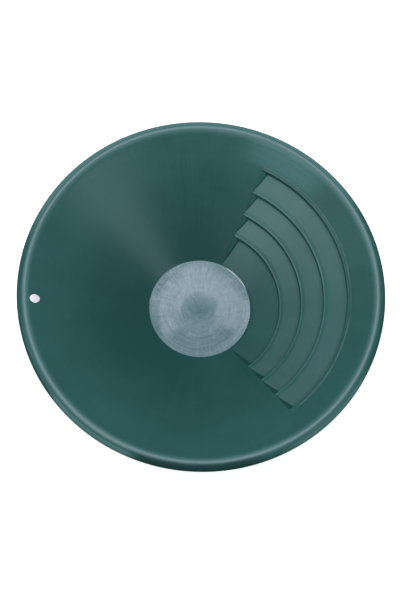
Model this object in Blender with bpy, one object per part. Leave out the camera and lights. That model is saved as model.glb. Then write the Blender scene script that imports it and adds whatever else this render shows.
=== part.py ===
"""Gold pan: one injection moulding with a flat floor, a conical wall, four riffles and a rolled rim.

Metres, +Z up. The underside of the floor is Z = 0, the pan's axis is Z, and +X points at the middle
of the riffles. The pan is built as rings of points, from the middle of the floor out over the rim
and back underneath, so the wall is one closed shell of even thickness.
"""

import math
from collections import namedtuple

import bmesh
import bpy

MM = 0.001

# Overall: 14 in across the rim and 2.5 in high.
RIM_RADIUS = 177.8 * MM
PAN_HEIGHT = 63.5 * MM
WALL = 2.8 * MM
FLOOR = 3.0 * MM

# The inner face of the wall is a cone through these two circles.
FLOOR_RADIUS = 50.2 * MM
FOOT_RADIUS = 51.2 * MM
FOOT_HEIGHT = 3.6 * MM
CONE_SLOPE = 0.512

# The rim: the wall turns level over a wide crest, then rolls down into a short open skirt.
ROLL_RADIUS = 7.0 * MM
CREST_RADIUS = RIM_RADIUS - ROLL_RADIUS
SKIRT = 1.5 * MM
SKIRT_EDGE = 0.6 * MM
CREST_STEPS = 3
ROLL_STEPS = 6
CURL_STEPS = 4

# The riffles: saw-tooth steps sunk in a sector of the wall. Each tread leaves the cone behind the
# lip of the step below it and sinks outward to the foot of its own riser.
RISERS = (79.8 * MM, 100.3 * MM, 121.7 * MM, 143.9 * MM)
RIFFLE_DEPTH = 4.2 * MM
RISER_DRAFT = 0.4 * MM
LIP = 2.0 * MM
SECTOR_HALF = math.radians(59.5)
END_RUN = 6.1 * MM
# The riffles' arcs are struck about a centre that lies a little off the pan's axis, towards the hole.
RIFFLE_CENTRE = (-1.6 * MM, 0.5 * MM)
SECTOR_STEPS = 30
PLAIN_STEPS = 54

# The underside follows the treads one wall thickness away, so its end lines lie a little outside.
UNDER_END_SHIFT = 0.9 * MM

# A plain round hole near the rim, across from the riffles, to hang the pan by.
HOLE_RADIUS = 4.8 * MM
HOLE_CENTRE_RADIUS = 160.4 * MM
HOLE_ANGLE = math.radians(177.9)
HOLE_SIDES = 32
CUTTER_HALF_HEIGHT = 12 * MM

GREEN = (0.031, 0.092, 0.090, 1.0)
ROUGHNESS = 0.42
SMOOTH_BELOW = 30

# One ring of points: its radius, its height on the plain wall, how far it sinks inside the riffles,
# how far outside the sector's end lines the sunk part starts, and its centre.
Ring = namedtuple("Ring", "radius height sink shift centre")


def clear_scene():
    for obj in list(bpy.data.objects):
        bpy.data.objects.remove(obj, do_unlink=True)


def cone_height(radius):
    """Height of the wall's inner face."""
    return FOOT_HEIGHT + (radius - FOOT_RADIUS) * CONE_SLOPE


def arc(centre, radius, start, end, steps):
    """Points (radius, height) along an arc, both ends included, angles in degrees."""
    angles = [math.radians(start + (end - start) * i / steps) for i in range(steps + 1)]
    return [(centre[0] + radius * math.cos(a), centre[1] + radius * math.sin(a)) for a in angles]


def plain(points):
    return [Ring(radius, height, 0.0, 0.0, (0.0, 0.0)) for radius, height in points]


def crest_blend():
    """Centre and radius of the arc that turns the cone level at the crest, and the cone's angle."""
    corner_radius = FOOT_RADIUS + (PAN_HEIGHT - FOOT_HEIGHT) / CONE_SLOPE
    cone_angle = math.atan(CONE_SLOPE)
    radius = (CREST_RADIUS - corner_radius) / math.tan(cone_angle / 2)
    return (CREST_RADIUS, PAN_HEIGHT - radius), radius, math.degrees(cone_angle)


def tread_slope(number):
    """How fast a tread sinks below the cone on its way out."""
    start = RISERS[number - 1] + LIP if number else FOOT_RADIUS
    return RIFFLE_DEPTH / (RISERS[number] - RISER_DRAFT - start)


def inner_rings():
    """From the floor's edge up the inside of the wall to the crest."""
    rings = plain([(FLOOR_RADIUS, FLOOR), (FOOT_RADIUS, FOOT_HEIGHT)])
    for number, riser in enumerate(RISERS):
        if number:
            start = RISERS[number - 1] + LIP
            rings.append(Ring(start, cone_height(start), 0.0, 0.0, RIFFLE_CENTRE))
        foot = riser - RISER_DRAFT
        rings.append(Ring(foot, cone_height(foot), RIFFLE_DEPTH, 0.0, RIFFLE_CENTRE))
        rings.append(Ring(riser, cone_height(riser), 0.0, 0.0, RIFFLE_CENTRE))
    centre, radius, cone_angle = crest_blend()
    return rings + plain(arc(centre, radius, 90 + cone_angle, 90, CREST_STEPS))


def rim_rings():
    """Over the outside of the roll, round the skirt's lower edge and back up inside it."""
    centre = (CREST_RADIUS, PAN_HEIGHT - ROLL_RADIUS)
    bottom = centre[1] - SKIRT
    roll = arc(centre, ROLL_RADIUS, 90, 0, ROLL_STEPS)[1:]
    skirt = [
        (RIM_RADIUS, bottom + SKIRT_EDGE),
        (RIM_RADIUS - SKIRT_EDGE, bottom),
        (RIM_RADIUS - WALL + SKIRT_EDGE, bottom),
        (RIM_RADIUS - WALL, bottom + SKIRT_EDGE),
    ]
    return plain(roll + skirt + arc(centre, ROLL_RADIUS - WALL, 0, 90, CURL_STEPS))


def outer_rings():
    """From under the crest down the outside of the wall to the edge of the base."""
    centre, radius, cone_angle = crest_blend()
    rings = plain(arc(centre, radius - WALL, 90, 90 + cone_angle, CREST_STEPS)[1:])
    drop = WALL * math.hypot(1, CONE_SLOPE)
    base_radius = FOOT_RADIUS + (drop - FOOT_HEIGHT) / CONE_SLOPE
    for number in reversed(range(len(RISERS))):
        foot = RISERS[number] + WALL
        top = foot + RISER_DRAFT
        start = RISERS[number - 1] + WALL + RISER_DRAFT if number else base_radius
        sink = tread_slope(number) * (foot - start)
        rings.append(Ring(top, cone_height(top) - drop, 0.0, UNDER_END_SHIFT, RIFFLE_CENTRE))
        rings.append(Ring(foot, cone_height(foot) - drop, sink, UNDER_END_SHIFT, RIFFLE_CENTRE))
    return rings + plain([(base_radius, 0.0)])


def ring_points(ring):
    """One ring, counter-clockwise: the sunk points first, then the plain wall from end line to end line.
    A ring about another centre than the pan's axis still follows the slope of the cone."""
    end = SECTOR_HALF + ring.shift / ring.radius
    corner = end - END_RUN / ring.radius
    sunk = [
        (-corner + 2 * corner * i / SECTOR_STEPS, ring.height - ring.sink)
        for i in range(SECTOR_STEPS + 1)
    ]
    rest = [
        (end + 2 * (math.pi - end) * i / PLAIN_STEPS, ring.height)
        for i in range(PLAIN_STEPS + 1)
    ]
    points = []
    for a, z in sunk + rest:
        off = ring.centre[0] * math.cos(a) + ring.centre[1] * math.sin(a)
        radius = ring.radius + off
        points.append((radius * math.cos(a), radius * math.sin(a), z + CONE_SLOPE * off))
    return points


def bridge(mesh, lower, upper, lower_sink, upper_sink):
    """Faces between two rings. A riffle's drafted end is two triangles, creased from the plain point
    of the shallower ring to the sunk point of the deeper one."""
    count = len(lower)
    upper_end, lower_end = SECTOR_STEPS, count - 1
    for i in range(count):
        j = (i + 1) % count
        quad = (lower[i], upper[i], upper[j], lower[j])
        if i not in (upper_end, lower_end):
            mesh.faces.new(quad)
            continue
        plain_first = i == lower_end
        if (upper_sink > lower_sink) == plain_first:
            mesh.faces.new((quad[0], quad[1], quad[2]))
            mesh.faces.new((quad[0], quad[2], quad[3]))
        else:
            mesh.faces.new((quad[0], quad[1], quad[3]))
            mesh.faces.new((quad[1], quad[2], quad[3]))


def pan_mesh():
    rings = inner_rings() + rim_rings() + outer_rings()
    mesh = bmesh.new()
    loops = [[mesh.verts.new(point) for point in ring_points(ring)] for ring in rings]
    for i in range(len(rings) - 1):
        bridge(mesh, loops[i], loops[i + 1], rings[i].sink, rings[i + 1].sink)
    mesh.faces.new(loops[0])
    mesh.faces.new(reversed(loops[-1]))
    bmesh.ops.recalc_face_normals(mesh, faces=mesh.faces)
    data = bpy.data.meshes.new("gold_pan")
    mesh.to_mesh(data)
    mesh.free()
    data.shade_smooth()
    data.set_sharp_from_angle(angle=math.radians(SMOOTH_BELOW))
    return data


def hole_cutter():
    """A vertical cylinder on the hole's axis."""
    x = HOLE_CENTRE_RADIUS * math.cos(HOLE_ANGLE)
    y = HOLE_CENTRE_RADIUS * math.sin(HOLE_ANGLE)
    bpy.ops.mesh.primitive_cylinder_add(
        vertices=HOLE_SIDES,
        radius=HOLE_RADIUS,
        depth=2 * CUTTER_HALF_HEIGHT,
        location=(x, y, cone_height(HOLE_CENTRE_RADIUS)),
    )
    cutter = bpy.context.active_object
    cutter.name = "hole_cutter"
    cutter.hide_render = True
    cutter.display_type = "WIRE"
    return cutter


def green_plastic():
    material = bpy.data.materials.new("green_polypropylene")
    material.use_nodes = True
    shader = material.node_tree.nodes["Principled BSDF"]
    shader.inputs["Base Color"].default_value = GREEN
    shader.inputs["Roughness"].default_value = ROUGHNESS
    shader.inputs["Metallic"].default_value = 0.0
    return material


def main():
    clear_scene()
    pan = bpy.data.objects.new("gold_pan", pan_mesh())
    bpy.context.collection.objects.link(pan)
    pan.data.materials.append(green_plastic())
    hole = pan.modifiers.new("hanging_hole", "BOOLEAN")
    hole.operation = "DIFFERENCE"
    hole.solver = "EXACT"
    hole.object = hole_cutter()


main()
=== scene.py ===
"""Gold pan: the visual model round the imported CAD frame.

The pan is one moulding, so the visual model is one piece. It is a fine polar mesh of the same design as
the CAD node: turned rings on the floor, riffles with rounded lips and fillets, witness lines of the
mould's riffle insert, a rolled rim and a hanging hole. Metres, +Z up, +X to the middle of the riffles.
"""

import math

import bpy
import numpy as np
from mathutils import Matrix, Vector


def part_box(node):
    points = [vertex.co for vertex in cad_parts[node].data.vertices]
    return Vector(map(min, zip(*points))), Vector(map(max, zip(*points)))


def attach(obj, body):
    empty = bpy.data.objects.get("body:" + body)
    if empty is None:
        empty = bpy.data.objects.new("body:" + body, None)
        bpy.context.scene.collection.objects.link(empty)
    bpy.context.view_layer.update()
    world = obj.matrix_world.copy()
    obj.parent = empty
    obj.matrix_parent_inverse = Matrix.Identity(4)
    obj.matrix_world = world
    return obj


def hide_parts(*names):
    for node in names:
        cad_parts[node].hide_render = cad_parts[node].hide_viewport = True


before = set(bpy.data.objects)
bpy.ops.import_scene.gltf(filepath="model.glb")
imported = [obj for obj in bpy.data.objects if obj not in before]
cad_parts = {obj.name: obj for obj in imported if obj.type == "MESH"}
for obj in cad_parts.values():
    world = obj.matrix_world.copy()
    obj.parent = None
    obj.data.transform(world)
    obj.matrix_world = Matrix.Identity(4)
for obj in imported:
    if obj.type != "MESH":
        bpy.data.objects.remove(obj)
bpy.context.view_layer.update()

MM = 0.001
LOW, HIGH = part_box("gold_pan")

# ---------------------------------------------------------------- the pan's design, as in the CAD
RIM_RADIUS = (HIGH.x - LOW.x) / 2
PAN_HEIGHT = HIGH.z
WALL = 2.8 * MM
FLOOR = 3.0 * MM
FLOOR_RADIUS = 50.2 * MM
FOOT_RADIUS = 51.2 * MM
FOOT_HEIGHT = 3.6 * MM
CONE_SLOPE = 0.512
ROLL_RADIUS = 7.0 * MM
CREST_RADIUS = RIM_RADIUS - ROLL_RADIUS
SKIRT = 1.5 * MM
RISERS = (79.8 * MM, 100.3 * MM, 121.7 * MM, 143.9 * MM)
RIFFLE_CENTRE = (-1.6 * MM, 0.5 * MM)
RIFFLE_DEPTH = 4.2 * MM
RISER_DRAFT = 0.4 * MM
LIP = 2.0 * MM
SECTOR_HALF = math.radians(59.5)
END_RUN = 6.1 * MM
UNDER_END_SHIFT = 0.9 * MM
HOLE_RADIUS = 4.8 * MM
HOLE_CENTRE_RADIUS = 160.4 * MM
HOLE_ANGLE = math.radians(177.9)

# ---------------------------------------------------------------- fine detail of the moulding
FOOT_FILLET = 0.4 * MM
LIP_RISE = 0.28 * MM
LIP_ROUND = 0.3 * MM
LIP_LAND = 1.3 * MM
LIP_TILT = 0.18
LAST_LIP_TILT = 0.30
LAND_ROUND = 3 * MM
HOLLOW = 2.5 * MM
HOLLOW_TILT = 0.41
HOLLOW_ROUND = 8 * MM
SEAM_RADIUS = 147.5 * MM
SEAM_HEIGHT = 0.16 * MM
BROW_ANGLE = 17.0
SHOULDER_RADIUS = 11.0 * MM
SHOULDER_ANGLE = 12.0
END_BLEND = 0.28 * MM
CREASE_SHIFT = 0.55 * MM
CREASE_CUT = 0.5 * MM
CREASE_CUT_WIDTH = 1.0 * MM
WITNESS = 0.12 * MM
WITNESS_RIDGE = (-0.45 * MM, 0.8 * MM)
WITNESS_GROOVE = (-1.1 * MM, 1.0 * MM)
FLOOR_EDGE_BEAD = 0.20 * MM
FLOOR_BEAD_WIDTH = 1.0 * MM
TURNED_RINGS = (44.9 * MM, 46.4 * MM, 47.7 * MM, 49.0 * MM)
TURNED_RING = 0.035 * MM
TURNED_RING_WIDTH = 0.8 * MM
FLOOR_RIM_START = 44 * MM
FLOOR_RIM_TILT = 0.020
FLOOR_CORNER = 1.2 * MM
SEAM_SETBACK = 1.4 * MM
SEAM_WIDTH = 0.9 * MM
SKIRT_EDGE = 0.9 * MM
UNDER_FOOT_ROUND = 1.2 * MM
UNDER_TOP_ROUND = 0.8 * MM
UNDER_BEND = 1.2 * MM
BASE_EDGE = 0.9 * MM

# The riffles' own centre holds between these radii and fades out to the pan's axis on both sides.
ARCS_FADE_IN = (FOOT_RADIUS + MM, RISERS[0] - 8 * MM)
ARCS_FADE_OUT = (SEAM_RADIUS + 3 * MM, SEAM_RADIUS + 11 * MM)

# ---------------------------------------------------------------- how fine the mesh is
FLOOR_STEP = 0.22 * MM
SEAM_STEP = 0.16 * MM
WALL_STEP = 3.2 * MM
UNDER_STEP = 7 * MM
PLAIN_COLUMNS = 148
SECTOR_COLUMNS = 110
HOLE_SIDES = 72
HOLE_CUTTER = 24 * MM
SHARP_ANGLE = math.radians(40)

END_SLOPE = RIFFLE_DEPTH / END_RUN
CONE_ANGLE = math.degrees(math.atan(CONE_SLOPE))
UNDER_DROP = WALL * math.hypot(1, CONE_SLOPE)


def cone(radius):
    return FOOT_HEIGHT + (radius - FOOT_RADIUS) * CONE_SLOPE


def smooth_min(a, b, blend):
    h = np.clip(0.5 + 0.5 * (b - a) / blend, 0, 1)
    return b * (1 - h) + a * h - blend * h * (1 - h)


def smooth_max(a, b, blend):
    return -smooth_min(-a, -b, blend)


def bump(x, centre, width):
    """A smooth bump, 1 at its centre and 0 beyond half its width."""
    t = np.clip(np.abs(x - centre) / (width / 2), 0, 1)
    return (1 - t * t) ** 2


def step(x, low, high):
    t = np.clip((x - low) / (high - low), 0, 1)
    return t * t * (3 - 2 * t)


def arc_points(centre, radius, start, end, steps):
    angles = np.radians(np.linspace(start, end, steps + 1))
    return [(centre[0] + radius * math.cos(a), centre[1] + radius * math.sin(a)) for a in angles]


def rounded(points, radii, steps=5):
    """A (radius, height) polyline whose corners become arcs. radii has one value per point, 0 for sharp."""
    points = [np.array(p, float) for p in points]
    out = [points[0]]
    for before, corner, after, radius in zip(points, points[1:], points[2:], radii[1:]):
        u = (before - corner) / np.linalg.norm(before - corner)
        v = (after - corner) / np.linalg.norm(after - corner)
        half = math.acos(np.clip(np.dot(u, v), -1, 1)) / 2
        if radius <= 0:
            out.append(corner)
            continue
        reach = radius / math.tan(half)
        middle = (u + v) / np.linalg.norm(u + v)
        centre = corner + middle * radius / math.sin(half)
        start, end = corner + u * reach, corner + v * reach
        for k in range(steps + 1):
            chord = start + (end - start) * k / steps
            ray = chord - centre
            out.append(centre + ray / np.linalg.norm(ray) * radius)
    out.append(points[-1])
    return out


def fill_in(points, longest):
    """The polyline with points added so that no stretch is longer than that."""
    out = [points[0]]
    for a, b in zip(points, points[1:]):
        count = max(1, math.ceil(np.linalg.norm(np.subtract(b, a)) / longest))
        out += [tuple(np.array(a) + (np.array(b) - np.array(a)) * k / count) for k in range(1, count + 1)]
    return out


class Rows:
    """The rings of the mesh, from the middle of the floor over the rim to the middle of the base."""

    def __init__(self):
        self.radius, self.height, self.sink, self.under = [], [], [], []

    def add(self, radius, height, sink=0.0, under=False):
        self.radius.append(radius)
        self.height.append(height)
        self.sink.append(sink)
        self.under.append(under)

    def add_plain(self, points, under=False):
        for radius, height in points:
            self.add(radius, height, 0.0, under)


def floor_rows(rows):
    coarse = np.linspace(3 * MM, FLOOR_RIM_START, 16)
    fine = np.arange(FLOOR_RIM_START + 0.5 * MM, FLOOR_RADIUS, FLOOR_STEP)
    for radius in [*coarse, *fine]:
        tilt = max(radius - FLOOR_RIM_START, 0.0) ** 2 / (2 * (FLOOR_RADIUS - FLOOR_RIM_START))
        ring = sum(bump(radius, r, TURNED_RING_WIDTH) for r in TURNED_RINGS)
        rows.add(radius, FLOOR + FLOOR_RIM_TILT * tilt + TURNED_RING * ring)
    top = FLOOR + FLOOR_RIM_TILT * (FLOOR_RADIUS - FLOOR_RIM_START) / 2
    corner = FOOT_RADIUS + (top - FOOT_HEIGHT) / CONE_SLOPE
    end = corner + FLOOR_CORNER
    edge = [(FLOOR_RADIUS - 0.1 * MM, top), (corner, top), (end, cone(end))]
    rows.add_plain(rounded(edge, [0, FLOOR_CORNER, 0])[1:])


def tread_start(number):
    return RISERS[number - 1] + LIP if number else FOOT_RADIUS


def wall_rows(rows):
    """The inside of the wall. Each ring holds its height on the cone and how far the riffles sink.
    Above each riser a narrow, flatter lip stands a little proud of the cone, with a hollow behind it."""
    start = FOOT_RADIUS + 1.3 * MM
    points, radii = [(FOOT_RADIUS, cone(FOOT_RADIUS))], [0]
    for riser in RISERS:
        foot = riser - RISER_DRAFT
        tilt = LAST_LIP_TILT if riser == RISERS[-1] else LIP_TILT
        lip = cone(riser) + LIP_RISE
        land = lip + tilt * LIP_LAND
        hollow = land + HOLLOW_TILT * HOLLOW
        points += [(foot, cone(foot) - RIFFLE_DEPTH), (riser, lip), (riser + LIP_LAND, land)]
        points += [(riser + LIP_LAND + HOLLOW, hollow)]
        radii += [FOOT_FILLET, LIP_ROUND, LAND_ROUND, HOLLOW_ROUND]
    end = RISERS[-1] + LIP
    points[-1] = (end, cone(end))
    points.append((SEAM_RADIUS, cone(SEAM_RADIUS)))
    radii[-1] = 0
    radii.append(0)
    line = fill_in([tuple(p) for p in rounded(points, radii)], WALL_STEP)
    for radius, height in line:
        if start < radius < end:
            rows.add(radius, cone(radius), cone(radius) - height)
    for radius in np.arange(end, SEAM_RADIUS + 1.6 * MM, SEAM_STEP):
        rows.add(radius, cone(radius))
    blend = crest_blend(0.0, 14)
    for radius in np.linspace(rows.radius[-1] + 2 * MM, blend[0][0] - 1 * MM, 5):
        rows.add(radius, cone(radius))
    rows.add_plain(blend)


def crest_blend(inset, steps):
    """Points of the two tangent arcs that turn the cone level at the crest, moved in by inset."""
    corner = FOOT_RADIUS + (PAN_HEIGHT - FOOT_HEIGHT) / CONE_SLOPE
    a, b = math.radians(BROW_ANGLE), math.radians(CONE_ANGLE)
    width = CREST_RADIUS - corner - ROLL_RADIUS * (math.sin(a) - (1 - math.cos(a)) / CONE_SLOPE)
    brow = width / (math.sin(b) - math.sin(a) - (math.cos(a) - math.cos(b)) / CONE_SLOPE)
    centre = (CREST_RADIUS, PAN_HEIGHT - ROLL_RADIUS)
    inner = [centre[0] - (ROLL_RADIUS - brow) * math.sin(a), centre[1] + (ROLL_RADIUS - brow) * math.cos(a)]
    outer_part = arc_points(inner, brow - inset, 90 + CONE_ANGLE, 90 + BROW_ANGLE, steps)
    return outer_part + arc_points(centre, ROLL_RADIUS - inset, 90 + BROW_ANGLE, 90, steps // 2)[1:]


def rim_rows(rows):
    centre = (CREST_RADIUS, PAN_HEIGHT - ROLL_RADIUS)
    bottom = centre[1] - SKIRT
    inner = RIM_RADIUS - WALL
    turn = math.radians(SHOULDER_ANGLE)
    round_edge = (ROLL_RADIUS - SHOULDER_RADIUS * math.sin(turn)) / (1 - math.sin(turn))
    offset = SHOULDER_RADIUS - round_edge
    shoulder = (CREST_RADIUS, PAN_HEIGHT - SHOULDER_RADIUS)
    outer = (CREST_RADIUS + offset * math.sin(turn), shoulder[1] + offset * math.cos(turn))
    rows.add_plain(arc_points(shoulder, SHOULDER_RADIUS, 90, 90 - SHOULDER_ANGLE, 6)[1:])
    rows.add_plain(arc_points(outer, round_edge, 90 - SHOULDER_ANGLE, 0, 13)[1:])
    edge = [(RIM_RADIUS, centre[1]), (RIM_RADIUS, bottom), (inner, bottom), (inner, centre[1])]
    rows.add_plain(rounded(edge, [0, SKIRT_EDGE, SKIRT_EDGE, 0], 4)[1:-1])
    rows.add_plain(arc_points(centre, ROLL_RADIUS - WALL, 0, 90, 9), True)
    rows.add_plain(crest_blend(WALL, 8)[::-1][1:], True)


def under_rows(rows):
    base = FOOT_RADIUS + (UNDER_DROP - FOOT_HEIGHT) / CONE_SLOPE
    inner = base + UNDER_BEND
    points, radii = [(inner, cone(inner) - UNDER_DROP)], [0]
    for number, riser in enumerate(RISERS):
        foot = riser + WALL
        start = RISERS[number - 1] + WALL + RISER_DRAFT if number else base
        slope = RIFFLE_DEPTH / (riser - RISER_DRAFT - tread_start(number))
        top = foot + RISER_DRAFT
        points += [(foot, cone(foot) - UNDER_DROP - slope * (foot - start)), (top, cone(top) - UNDER_DROP)]
        radii += [UNDER_FOOT_ROUND, UNDER_TOP_ROUND]
    outer = points[-1][0] + 3 * MM
    points.append((outer, cone(outer) - UNDER_DROP))
    radii.append(0)
    line = fill_in([tuple(p) for p in rounded(points, radii, 4)], UNDER_STEP)
    for radius, height in reversed(line):
        rows.add(radius, cone(radius) - UNDER_DROP, cone(radius) - UNDER_DROP - height, True)
    edge = [(inner, cone(inner) - UNDER_DROP), (base, 0.0), (base - UNDER_BEND, 0.0)]
    rows.add_plain(rounded(edge, [0, BASE_EDGE, 0], 4)[1:], True)
    rows.add_plain([(radius, 0.0) for radius in np.linspace(FLOOR_RIM_START, 4 * MM, 6)], True)


def ring_columns(radius, sink, shift):
    """Angles of one ring's points, and each point's distance inside the nearer end line of the riffles.
    The points near an end line, listed in millimetres from it, follow the crease where the end wall meets
    the tread."""
    end = SECTOR_HALF + shift / radius
    wide = max(sink, 0.0) / END_SLOPE / MM
    crease = wide + CREASE_SHIFT / MM * math.exp(-wide * MM / CREASE_SHIFT)
    outside = [-2.6, -1.7, -1.1, -0.8, -0.6, -0.45, -0.3, -0.15]
    on_wall = [(crease - 0.35) * f for f in (0, 0.12, 0.3, 0.5, 0.7, 0.88)]
    at_tread = [crease + d for d in (-0.35, -0.2, -0.08, 0.08, 0.2, 0.35, 0.6, 1.0, 1.7)]
    near = np.array([*outside, *on_wall, *at_tread]) * MM
    inner = end - near[-1] / radius
    outer = end - near[0] / radius
    middle = np.linspace(-inner, inner, SECTOR_COLUMNS)[1:-1]
    plain = np.linspace(outer, 2 * math.pi - outer, PLAIN_COLUMNS)[1:-1]
    angles = np.concatenate([-end + near / radius, middle, (end - near / radius)[::-1], plain])
    inside = np.concatenate([near, (end - np.abs(middle)) * radius, near[::-1], np.full(len(plain), -1.0)])
    return angles, inside


def off_axis(radius, angles):
    """How far out a ring's points lie from its radius, as the riffles' arcs have a centre of their own."""
    share = step(radius, *ARCS_FADE_IN) * (1 - step(radius, *ARCS_FADE_OUT))
    return share * (RIFFLE_CENTRE[0] * np.cos(angles) + RIFFLE_CENTRE[1] * np.sin(angles))


def trim(radius, angles, inside):
    """Small raised detail of the moulding's inner face: seams, witness lines and the floor's edge."""
    within = step(inside, 0.0, 0.9 * MM)
    round_pan = (angles + math.pi) % (2 * math.pi) - math.pi
    waves = 0.30 * np.sin(angles * 9.0 + 0.6) * np.sin(angles * 23.0)
    ragged = 0.75 + waves + 0.5 * bump(round_pan, -0.7, 0.9)
    ridge = bump(radius, SEAM_RADIUS - SEAM_SETBACK, SEAM_WIDTH) * ragged
    groove = 0.7 * bump(radius, SEAM_RADIUS, SEAM_WIDTH)
    height = SEAM_HEIGHT * (ridge - groove) * within
    if FOOT_RADIUS < radius < SEAM_RADIUS:
        broken = max(0.0, math.sin(radius / MM * 0.21 + 1.0) * math.sin(radius / MM * 0.083))
        height = height + WITNESS * (0.3 + broken) * bump(inside, *WITNESS_RIDGE)
        height = height - 0.6 * WITNESS * bump(inside, *WITNESS_GROOVE)
    if radius < FOOT_RADIUS + MM:
        lit = 0.25 + 0.75 * bump(round_pan, 0.5, 1.4)
        height = height + FLOOR_EDGE_BEAD * lit * bump(radius, FLOOR_RADIUS + 0.2 * MM, FLOOR_BEAD_WIDTH)
    return height


def ring_points(radius, height, sink, under, inner_face):
    """The points of one ring of the mesh, sunk into the riffles with rounded ends."""
    angles, inside = ring_columns(radius, sink, UNDER_END_SHIFT if under else 0.0)
    wide = max(sink, 0.0) / END_SLOPE
    blend = max(min(END_BLEND, wide), 1e-9)
    depth = END_SLOPE * smooth_min(smooth_max(inside, 0.0, blend), wide, blend)
    proud = 0.55 + 0.45 * step(angles, -0.5, 0.4)
    z = height - depth - min(sink, 0.0) * step(inside, 0.0, 0.8 * MM) * proud
    if inner_face:
        # The upper end wall has a deeper crease at its foot.
        crease = wide + CREASE_SHIFT * math.exp(-wide / CREASE_SHIFT)
        cut = step(wide, 0.4 * MM, 2.0 * MM) * (np.abs(angles - SECTOR_HALF) < 0.2)
        z = z + trim(radius, angles, inside) - CREASE_CUT * cut * bump(inside, crease, CREASE_CUT_WIDTH)
    shift = off_axis(radius, angles)
    out = radius + shift
    return np.stack([out * np.cos(angles), out * np.sin(angles), z + CONE_SLOPE * shift], 1)


def ring_faces(rings, columns):
    """The quads between the rings, and the fans that close the middles of the floor and the base."""
    faces = []
    for i in range(rings - 1):
        a, b = i * columns, (i + 1) * columns
        for j in range(columns):
            k = (j + 1) % columns
            faces.append((a + j, b + j, b + k, a + k))
    top, bottom, last = rings * columns, rings * columns + 1, (rings - 1) * columns
    for j in range(columns):
        k = (j + 1) % columns
        faces.append((j, k, top))
        faces.append((last + k, last + j, bottom))
    return faces


def pan_object():
    rows = Rows()
    floor_rows(rows)
    wall_rows(rows)
    inner_count = len(rows.radius)
    rim_rows(rows)
    under_rows(rows)
    rings = []
    for i, row in enumerate(zip(rows.radius, rows.height, rows.sink, rows.under)):
        rings.append(ring_points(*row, i < inner_count))
    points = np.concatenate([*rings, [[0, 0, rows.height[0]]], [[0, 0, 0]]])
    data = bpy.data.meshes.new("pan_moulding")
    data.from_pydata(points.tolist(), [], ring_faces(len(rings), len(rings[0])))
    data.update()
    pan = bpy.data.objects.new("pan_moulding", data)
    bpy.context.scene.collection.objects.link(pan)
    return pan


def cut_hole(pan):
    bpy.ops.mesh.primitive_cylinder_add(
        vertices=HOLE_SIDES,
        radius=HOLE_RADIUS,
        depth=HOLE_CUTTER,
        location=(
            HOLE_CENTRE_RADIUS * math.cos(HOLE_ANGLE),
            HOLE_CENTRE_RADIUS * math.sin(HOLE_ANGLE),
            cone(HOLE_CENTRE_RADIUS),
        ),
    )
    cutter = bpy.context.active_object
    cut = pan.modifiers.new("hanging_hole", "BOOLEAN")
    cut.operation = "DIFFERENCE"
    cut.solver = "EXACT"
    cut.object = cutter
    bpy.context.view_layer.objects.active = pan
    pan.select_set(True)
    bpy.ops.object.modifier_apply(modifier=cut.name)
    bpy.data.objects.remove(cutter, do_unlink=True)


# ---------------------------------------------------------------- material
class Graph:
    """Short helpers for one material's nodes."""

    def __init__(self, name):
        self.material = bpy.data.materials.new(name)
        self.material.use_nodes = True
        self.nodes = self.material.node_tree.nodes
        self.links = self.material.node_tree.links
        self.shader = self.nodes["Principled BSDF"]

    def put(self, value, socket):
        if isinstance(value, bpy.types.NodeSocket):
            self.links.new(value, socket)
        else:
            socket.default_value = value

    def shade(self, name, value):
        """Set one input of the shader."""
        self.put(value, self.shader.inputs[name])

    def math(self, operation, a, b=0.0):
        node = self.nodes.new("ShaderNodeMath")
        node.operation = operation
        self.put(a, node.inputs[0])
        self.put(b, node.inputs[1])
        return node.outputs[0]

    def total(self, *terms):
        out = terms[0]
        for term in terms[1:]:
            out = self.math("ADD", out, term)
        return out

    def times(self, *factors):
        out = factors[0]
        for factor in factors[1:]:
            out = self.math("MULTIPLY", out, factor)
        return out

    def centred(self, noise):
        """A noise that varies round 0 instead of 0.5."""
        return self.math("SUBTRACT", noise, 0.5)

    def split(self, vector):
        node = self.nodes.new("ShaderNodeSeparateXYZ")
        self.put(vector, node.inputs[0])
        return tuple(node.outputs)

    def combine(self, x, y, z):
        node = self.nodes.new("ShaderNodeCombineXYZ")
        for value, socket in zip((x, y, z), node.inputs):
            self.put(value, socket)
        return node.outputs[0]

    def noise(self, vector, scale, detail=2.0, roughness=0.5):
        node = self.nodes.new("ShaderNodeTexNoise")
        self.put(vector, node.inputs["Vector"])
        node.inputs["Scale"].default_value = scale
        node.inputs["Detail"].default_value = detail
        node.inputs["Roughness"].default_value = roughness
        return node.outputs["Fac"]

    def remap(self, value, low, high, to_low, to_high):
        """A smooth step: to_low where the value is below low, and to_high where it is above high."""
        node = self.nodes.new("ShaderNodeMapRange")
        node.interpolation_type = "SMOOTHSTEP"
        names = ("Value", "From Min", "From Max", "To Min", "To Max")
        for name, setting in zip(names, (value, low, high, to_low, to_high)):
            self.put(setting, node.inputs[name])
        return node.outputs["Result"]

    def band(self, value, low, high, soft_low, soft_high):
        """1 from low to high and 0 outside, each edge as soft as it says on both of its sides."""
        inner = self.remap(value, low - soft_low, low + soft_low, 0.0, 1.0)
        return self.times(inner, self.remap(value, high - soft_high, high + soft_high, 1.0, 0.0))

    def mix(self, factor, a, b):
        node = self.nodes.new("ShaderNodeMix")
        node.data_type = "RGBA"
        self.put(factor, node.inputs["Factor"])
        self.put(a, node.inputs["A"])
        self.put(b, node.inputs["B"])
        return node.outputs["Result"]

    def bump(self, height, strength, distance):
        node = self.nodes.new("ShaderNodeBump")
        node.inputs["Strength"].default_value = strength
        node.inputs["Distance"].default_value = distance
        self.put(height, node.inputs["Height"])
        return node.outputs["Normal"]


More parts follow.
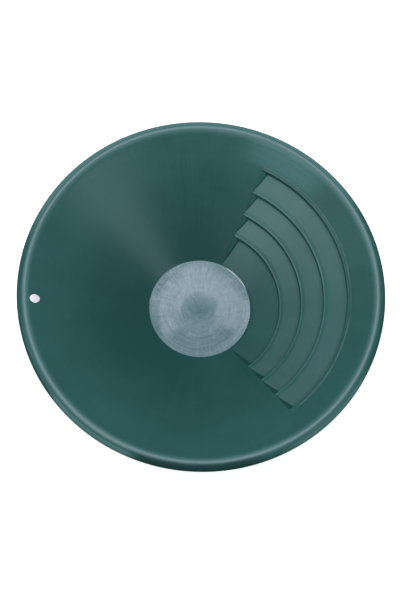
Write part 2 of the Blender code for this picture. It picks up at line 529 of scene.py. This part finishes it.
class PanSurface(Graph):
    """The pan's polar coordinates, noises and zones, for its one material."""

    def __init__(self, name):
        super().__init__(name)
        texture = self.nodes.new("ShaderNodeTexCoord")
        self.coord = texture.outputs["Object"]
        x, y, self.z = self.split(self.coord)
        across, along, _ = self.split(texture.outputs["Normal"])
        self.radius = self.math("SQRT", self.total(self.times(x, x), self.times(y, y)))
        safe = self.math("MAXIMUM", self.radius, 0.5 * MM)
        self.cosine, self.sine = self.math("DIVIDE", x, safe), self.math("DIVIDE", y, safe)
        # Only the riffles' end walls face round the pan.
        self.facing = self.math("SUBTRACT", self.times(along, self.cosine), self.times(across, self.sine))
        self.make_noises()
        self.make_zones()

    def make_noises(self):
        self.cloud = self.noise(self.coord, 42.0, 3.0)
        self.wide_cloud = self.noise(self.coord, 14.0, 2.0)
        self.grain = self.noise(self.coord, 1100.0, 2.0)
        self.turned = self.noise(self.polar(1.2, 420.0), 1.0, 3.0, 0.6)
        self.brushed = self.noise(self.polar(46.0, 90.0), 1.0, 4.0, 0.7)
        self.drawn = self.noise(self.polar(30.0, 9.0), 1.0, 3.0, 0.6)
        self.scratched = self.noise(self.polar(95.0, 16.0), 1.0, 2.0, 0.6)

    def make_zones(self):
        self.inside = self.remap(self.z, 1.8 * MM, 2.6 * MM, 0.0, 1.0)
        within_edge = self.outwards(FLOOR_RADIUS, FLOOR_RADIUS + 0.4 * MM, 1.0, 0.0)
        self.on_floor = self.times(self.inside, within_edge)
        self.on_wall = self.math("SUBTRACT", 1.0, self.on_floor)
        treads = self.ring(52.5 * MM, 142.5 * MM, 1.0 * MM, 0.6 * MM)
        self.on_tread = self.times(self.sector(0.0, 59.0, 0.7), treads)
        uneven = self.remap(self.wide_cloud, 0.30, 0.70, 0.70, 1.0)
        self.on_crest = self.times(self.ring(167.2 * MM, 172.2 * MM, 2.2 * MM, 1.2 * MM), uneven)

    def polar(self, around, outwards):
        """Noise coordinates with this many units per radian round the pan and per metre outwards."""
        x, y = self.times(self.cosine, around), self.times(self.sine, around)
        return self.combine(x, y, self.times(self.radius, outwards))

    def sector(self, centre, half, soft):
        """1 within half of the centre's angle and 0 beyond, in degrees, with edges as soft as it says."""
        angle = math.radians(centre)
        along = self.total(self.times(self.cosine, math.cos(angle)), self.times(self.sine, math.sin(angle)))
        gone, full = math.cos(math.radians(half + soft)), math.cos(math.radians(half - soft))
        return self.remap(along, gone, full, 0.0, 1.0)

    def ring(self, low, high, soft_low, soft_high):
        return self.band(self.radius, low, high, soft_low, soft_high)

    def outwards(self, low, high, to_low, to_high):
        return self.remap(self.radius, low, high, to_low, to_high)


DEEP_GREEN = (0.0098, 0.0580, 0.0530, 1.0)
PALE_GREEN = (0.0240, 0.0997, 0.0930, 1.0)
SCUFFED_GREEN = (0.0220, 0.1080, 0.1120, 1.0)
# Painted shade on the riffles' end walls and creases and on the near side of the rim's shoulder.
PAINTED_SHADE_GREEN = (0.0050, 0.0330, 0.0310, 1.0)
# Pale green of the scuffed crest, which also stands in for its highlight and for the painted highlight
# beyond the riffles.
WEAR_AND_HIGHLIGHT_GREEN = (0.0430, 0.1330, 0.1260, 1.0)
# Painted reflection on the rim's shoulder.
REFLECTION_GREEN = (0.0680, 0.1640, 0.1580, 1.0)
# Painted highlight on the floor's edge.
EDGE_HIGHLIGHT_GREEN = (0.7000, 0.7800, 0.7800, 1.0)
FLOOR_ROUGHNESS = 0.208
WALL_ROUGHNESS = 0.304
GLOSS = 0.5
POLYPROPYLENE_IOR = 1.49
RELIEF = 0.035 * MM


def floor_roughness(s):
    """The floor's zones of turned and polished finish, with wandering edges, under fine brushed streaks."""
    wander = s.total(
        s.radius,
        s.times(s.centred(s.noise(s.coord, 70.0, 3.0, 0.6)), 9 * MM),
        s.times(s.centred(s.brushed), 6 * MM),
    )
    spot = s.remap(wander, 15.0 * MM, 21.5 * MM, 1.0, 0.0)
    below = s.times(s.band(wander, 27.5 * MM, 43.0 * MM, 3.0 * MM, 1.6 * MM), s.sector(-91.0, 50.0, 9.0))
    upper_right = s.times(s.remap(wander, 34.0 * MM, 46.0 * MM, 0.0, 1.0), s.sector(38.0, 24.0, 18.0))
    left = s.times(s.remap(wander, 34.5 * MM, 47.0 * MM, 0.0, 1.0), s.sector(158.0, 42.0, 20.0))
    lower_edge = s.times(s.remap(wander, 40.5 * MM, 45.0 * MM, 0.0, 1.0), s.sector(-110.0, 62.0, 16.0))
    lower_band = s.band(wander, 18.5 * MM, 27.5 * MM, 2.0 * MM, 2.2 * MM)
    lower_ring = s.times(lower_band, s.sector(-100.0, 70.0, 34.0))
    above = s.sector(80.0, 70.0, 30.0)
    streaks = s.times(s.centred(s.brushed), s.total(0.42, s.times(above, 0.42)))
    return s.total(
        s.times(spot, s.outwards(2 * MM, 16 * MM, 0.215, 0.110)),
        s.times(below, 0.135),
        s.times(upper_right, 0.110),
        s.times(left, 0.090),
        s.times(lower_edge, 0.095),
        s.times(lower_ring, 0.085),
        s.times(s.ring(33.6 * MM, 34.6 * MM, 0.9 * MM, 0.9 * MM), above, 0.05),
        s.times(s.sector(-98.0, 60.0, 60.0), 0.02),
        s.times(s.sector(78.0, 45.0, 35.0), s.outwards(33 * MM, 45 * MM, -0.035, 0.0)),
        streaks,
        s.times(s.centred(s.turned), s.math("SUBTRACT", 0.34, s.times(above, 0.10))),
        FLOOR_ROUGHNESS,
    )


def wall_roughness(s):
    return s.total(
        WALL_ROUGHNESS,
        s.times(s.on_tread, 0.02),
        s.times(s.on_crest, 0.075),
        s.times(s.centred(s.cloud), 0.05),
        s.times(s.centred(s.drawn), 0.035),
    )


def green_with_painted_light(s):
    """Deep green that clouds a little, with painted light and shade: it is paler outwards, as painted shade
    darkens the wall towards the floor, and paler in the riffles and at the near wall's foot, where more
    light falls. A painted highlight lies on the lowest tread near the riffles' upper end, and painted shade
    on the treads by their lower end. The far wall has fine scratches down it and a faint arc that was struck
    off centre."""
    off_centre = s.math("SUBTRACT", s.radius, s.times(s.cosine, 11 * MM))
    arc = s.band(off_centre, 159.4 * MM, 160.6 * MM, 0.6 * MM, 0.6 * MM)
    pale = s.total(
        # Painted shade: darker towards the floor, paler outwards.
        s.outwards(55 * MM, 168 * MM, -0.05, 0.60),
        # Painted light on the treads, with a painted highlight on the lowest tread and painted shade by
        # their lower end.
        s.times(s.on_tread, s.outwards(56 * MM, 78 * MM, 0.40, 0.50)),
        s.times(s.on_tread, s.outwards(95 * MM, 140 * MM, 0.0, -0.12)),
        s.times(s.on_tread, s.sector(51.0, 7.0, 12.0), s.outwards(62 * MM, 80 * MM, 0.0, 0.26)),
        s.times(s.on_tread, s.sector(-54.0, 8.0, 14.0), -0.16),
        # Painted light at the near wall's foot.
        s.times(s.sector(-90.0, 25.0, 22.0), s.outwards(55 * MM, 120 * MM, 0.20, 0.0)),
        s.times(s.centred(s.cloud), 0.42),
        s.times(s.centred(s.wide_cloud), 0.42),
        s.times(s.centred(s.drawn), 0.30),
        s.times(s.centred(s.scratched), s.on_wall, s.sector(85.0, 25.0, 15.0), 0.55),
        s.times(arc, s.sector(107.0, 22.0, 9.0), 0.16),
        s.times(s.centred(s.turned), s.outwards(60 * MM, 150 * MM, 0.10, 0.34)),
    )
    return s.mix(pale, DEEP_GREEN, PALE_GREEN)


def end_wall_painted_shade(s, green):
    """Painted shade: darker colour on the riffles' lower end walls and in their upper creases, where shade
    falls.
    """
    lower = s.times(s.remap(s.facing, 0.12, 0.34, 0.0, 0.62), s.sector(-56.0, 14.0, 3.0), s.inside)
    steep = s.remap(s.math("ABSOLUTE", s.facing), 0.58, 0.75, 0.0, 0.90)
    return s.mix(s.total(lower, s.times(steep, s.sector(59.0, 10.0, 3.0), s.inside)), green, PAINTED_SHADE_GREEN)


def crest_wear_and_painted_highlight(s, green):
    """The scuffed floor; the crest, scuffed pale and also painted as a highlight; and a streaky painted
    highlight on the wall beyond the riffles' upper end.
    """
    scuffed = s.times(s.on_floor, s.total(0.80, s.times(s.centred(s.brushed), 0.6)))
    # Painted highlight beyond the riffles' upper end.
    highlight_past_riffles = s.times(
        s.sector(52.5, 10.5, 9.0),
        s.ring(147.0 * MM, 171.2 * MM, 3.0 * MM, 1.0 * MM),
        s.remap(s.turned, 0.35, 0.65, 0.68, 1.0),
    )
    # The crest band is partly scuffed plastic and partly painted highlight.
    pale_wear_and_highlight = s.math("MAXIMUM", s.on_crest, highlight_past_riffles)
    return s.mix(pale_wear_and_highlight, s.mix(scuffed, green, SCUFFED_GREEN), WEAR_AND_HIGHLIGHT_GREEN)


def shoulder_painted_light(s, green):
    """Painted reflections and shade outside the crest: the shoulder is painted pale round its far side and
    in two patches of its near side, and painted dark between the two."""
    painted_reflection = s.total(
        s.times(s.sector(90.0, 62.0, 10.0), s.outwards(172.2 * MM, 173.6 * MM, 0.0, 1.0)),
        s.times(s.sector(-132.0, 16.0, 3.0), s.outwards(173.4 * MM, 175.8 * MM, 0.0, 1.0)),
        s.times(s.sector(-51.0, 15.0, 6.0), s.outwards(173.8 * MM, 176.4 * MM, 0.0, 1.0)),
    )
    green = s.mix(s.times(painted_reflection, s.remap(s.z, 53.0 * MM, 56.5 * MM, 0.0, 1.0)), green, REFLECTION_GREEN)
    # Painted shade on the near side of the shoulder.
    dark = s.times(s.sector(-97.0, 19.0, 5.0), s.outwards(170.8 * MM, 172.6 * MM, 0.0, 0.75))
    return s.mix(dark, green, PAINTED_SHADE_GREEN)


def edge_painted_highlight(s, green):
    """A broken pale line painted on the floor's edge as a highlight, strongest towards the riffles' upper
    end.
    """
    edge_highlight = s.times(
        s.ring(50.0 * MM, 50.7 * MM, 0.2 * MM, 0.2 * MM),
        s.inside,
        s.total(s.times(s.sector(36.0, 13.0, 6.0), 0.70), s.times(s.sector(95.0, 70.0, 25.0), 0.26)),
        s.remap(s.noise(s.polar(9.0, 0.0), 1.0, 2.0), 0.30, 0.55, 0.60, 1.0),
    )
    return s.mix(edge_highlight, green, EDGE_HIGHLIGHT_GREEN)


def green_plastic():
    """Moulded polypropylene: cloudy green, satin on the wall, a little duller in the riffles and on part of
    the far wall, and turned and polished in zones on the floor."""
    s = PanSurface("green_polypropylene")
    rough = s.total(s.times(floor_roughness(s), s.on_floor), s.times(wall_roughness(s), s.on_wall))
    s.shade("Roughness", rough)
    # The base colour carries painted shade, painted highlights and painted reflections besides the plastic's
    # own tone.
    s.shade("Base Color", edge_painted_highlight(s, shoulder_painted_light(s, crest_wear_and_painted_highlight(s, end_wall_painted_shade(s, green_with_painted_light(s))))))

    turned_height = s.times(s.turned, s.total(0.10, s.times(s.on_floor, 0.60)))
    brushed_height = s.times(s.brushed, s.on_floor, 0.35)
    height = s.total(turned_height, brushed_height, s.times(s.drawn, 0.16), s.times(s.grain, 0.05))
    s.shade("Normal", s.bump(height, 1.0, RELIEF))

    dull = s.times(s.sector(82.0, 14.0, 12.0), s.ring(98 * MM, 140 * MM, 15 * MM, 18 * MM), s.on_wall, 0.22)
    s.shade("Specular IOR Level", s.math("SUBTRACT", GLOSS, dull))
    s.shade("IOR", POLYPROPYLENE_IOR)
    return s.material


# ---------------------------------------------------------------- stage, light and camera
# The camera is fitted to the rim, the crest, the floor's edge and the riffles in the photo.
CAMERA_AZIMUTH = -10.0
CAMERA_ELEVATION = 70.92
CAMERA_DISTANCE = 1.650
CAMERA_ROLL = math.radians(4.87)
FOCAL_LENGTH = 102.98
SHIFT = (-0.0027, -0.01845)

# name, azimuth from the camera's side, elevation, distance, half angles, radiance, colour
LIGHTS = (
    ("top_box", 180.0, 66.5, 2.2, (12.5, 9.0), 6.0, (1.0, 0.96, 1.14)),
    ("zenith_box", 237.0, 82.5, 2.2, (18.0, 15.0), 2.3, (0.89, 1.0, 1.10)),
    ("right_box", 69.0, 52.5, 2.2, (8.5, 8.5), 2.35, (0.76, 1.0, 1.08)),
    ("left_box", 284.0, 32.5, 2.2, (14.0, 15.0), 1.2, (0.82, 1.0, 1.02)),
    ("left_front_box", 298.0, 71.5, 0.583, (5.0, 5.0), 2.3, (0.72, 1.0, 1.02)),
)
WORLD_DIFFUSE = 0.71
WORLD_GLOSSY = 0.02
FLOOR_HALF = 6.0
FLOOR_GAP = 0.2 * MM
FLOOR_GLOW = (0.6, 0.6, 0.6, 1.0)
# Dimmer, lavender glow of a painted shadow on the floor under the pan.
PAINTED_SHADOW_GLOW = (0.355, 0.33, 0.425, 1.0)
SHADOW_CENTRE = (3.4 * MM, 19.2 * MM)
SHADOW_EDGE = (164 * MM, 178 * MM)


def direction(azimuth, elevation):
    """Unit vector towards a light or camera. Azimuth 0 is the -Y side and 90 the +X side."""
    a, e = math.radians(azimuth), math.radians(elevation)
    return Vector((math.sin(a) * math.cos(e), -math.cos(a) * math.cos(e), math.sin(e)))


def add_camera():
    data = bpy.data.cameras.new("camera")
    data.sensor_width = 36.0
    data.lens = FOCAL_LENGTH
    data.shift_x, data.shift_y = SHIFT
    data.clip_start, data.clip_end = 0.05, 50.0
    camera = bpy.data.objects.new("camera", data)
    bpy.context.scene.collection.objects.link(camera)
    back = direction(CAMERA_AZIMUTH, CAMERA_ELEVATION)
    right = Vector((0, 0, 1)).cross(back).normalized()
    up = back.cross(right)
    rolled_right = right * math.cos(CAMERA_ROLL) + up * math.sin(CAMERA_ROLL)
    rolled_up = up * math.cos(CAMERA_ROLL) - right * math.sin(CAMERA_ROLL)
    place = Vector((0, 0, PAN_HEIGHT)) + back * CAMERA_DISTANCE
    turn = Matrix((rolled_right, rolled_up, back)).transposed().to_4x4()
    camera.matrix_world = Matrix.Translation(place) @ turn
    bpy.context.scene.camera = camera


def add_light(name, azimuth, elevation, distance, half_angles, radiance, colour):
    """A rectangular softbox. The azimuth is counted from the camera's own side, the half angles are what
    the pan sees of its width and height."""
    width, height = (2 * distance * math.tan(math.radians(a)) for a in half_angles)
    data = bpy.data.lights.new(name, "AREA")
    data.shape = "RECTANGLE"
    data.size, data.size_y = width, height
    data.energy = radiance * width * height * math.pi
    data.color = colour
    light = bpy.data.objects.new(name, data)
    bpy.context.scene.collection.objects.link(light)
    back = direction(CAMERA_AZIMUTH + azimuth, elevation)
    light.location = Vector((0, 0, PAN_HEIGHT / 2)) + back * distance
    light.rotation_euler = back.to_track_quat("Z", "Y").to_euler()


def add_lights():
    for light in LIGHTS:
        add_light(*light)
    world = bpy.data.worlds.new("studio")
    world.use_nodes = True
    nodes, links = world.node_tree.nodes, world.node_tree.links
    background = nodes["Background"]
    background.inputs["Color"].default_value = (1.0, 1.0, 1.0, 1.0)
    path = nodes.new("ShaderNodeLightPath")
    pick = nodes.new("ShaderNodeMapRange")
    links.new(path.outputs["Is Glossy Ray"], pick.inputs["Value"])
    pick.inputs["To Min"].default_value = WORLD_DIFFUSE
    pick.inputs["To Max"].default_value = WORLD_GLOSSY
    links.new(pick.outputs["Result"], background.inputs["Strength"])
    bpy.context.scene.world = world


def pale_floor():
    """White that glows, less on a patch under the pan: a painted shadow, which the camera sees only through
    the hanging hole.
    """
    g = Graph("pale_floor")
    x, y, _ = g.split(g.nodes.new("ShaderNodeTexCoord").outputs["Object"])
    across, along = (g.math("SUBTRACT", v, c) for v, c in zip((x, y), SHADOW_CENTRE))
    distance = g.math("SQRT", g.total(g.times(across, across), g.times(along, along)))
    painted_shadow = g.remap(distance, *SHADOW_EDGE, 1.0, 0.0)
    g.shade("Base Color", (0.9, 0.9, 0.9, 1.0))
    g.shade("Roughness", 0.9)
    g.shade("Emission Color", g.mix(painted_shadow, FLOOR_GLOW, PAINTED_SHADOW_GLOW))
    g.shade("Emission Strength", 1.0)
    return g.material


def add_floor():
    data = bpy.data.meshes.new("floor")
    corners = [(x * FLOOR_HALF, y * FLOOR_HALF, 0) for x, y in ((-1, -1), (1, -1), (1, 1), (-1, 1))]
    data.from_pydata(corners, [], [(0, 1, 2, 3)])
    data.materials.append(pale_floor())
    floor = bpy.data.objects.new("floor", data)
    floor.location.z = -FLOOR_GAP
    floor.visible_glossy = False
    floor.visible_diffuse = False
    bpy.context.scene.collection.objects.link(floor)


def main():
    pan = pan_object()
    cut_hole(pan)
    pan.data.materials.clear()
    pan.data.materials.append(green_plastic())
    pan.data.shade_smooth()
    pan.data.set_sharp_from_angle(angle=SHARP_ANGLE)
    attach(pan, "root")
    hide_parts("gold_pan")
    add_floor()
    add_lights()
    add_camera()
    bpy.context.scene.view_settings.view_transform = "Standard"


main()
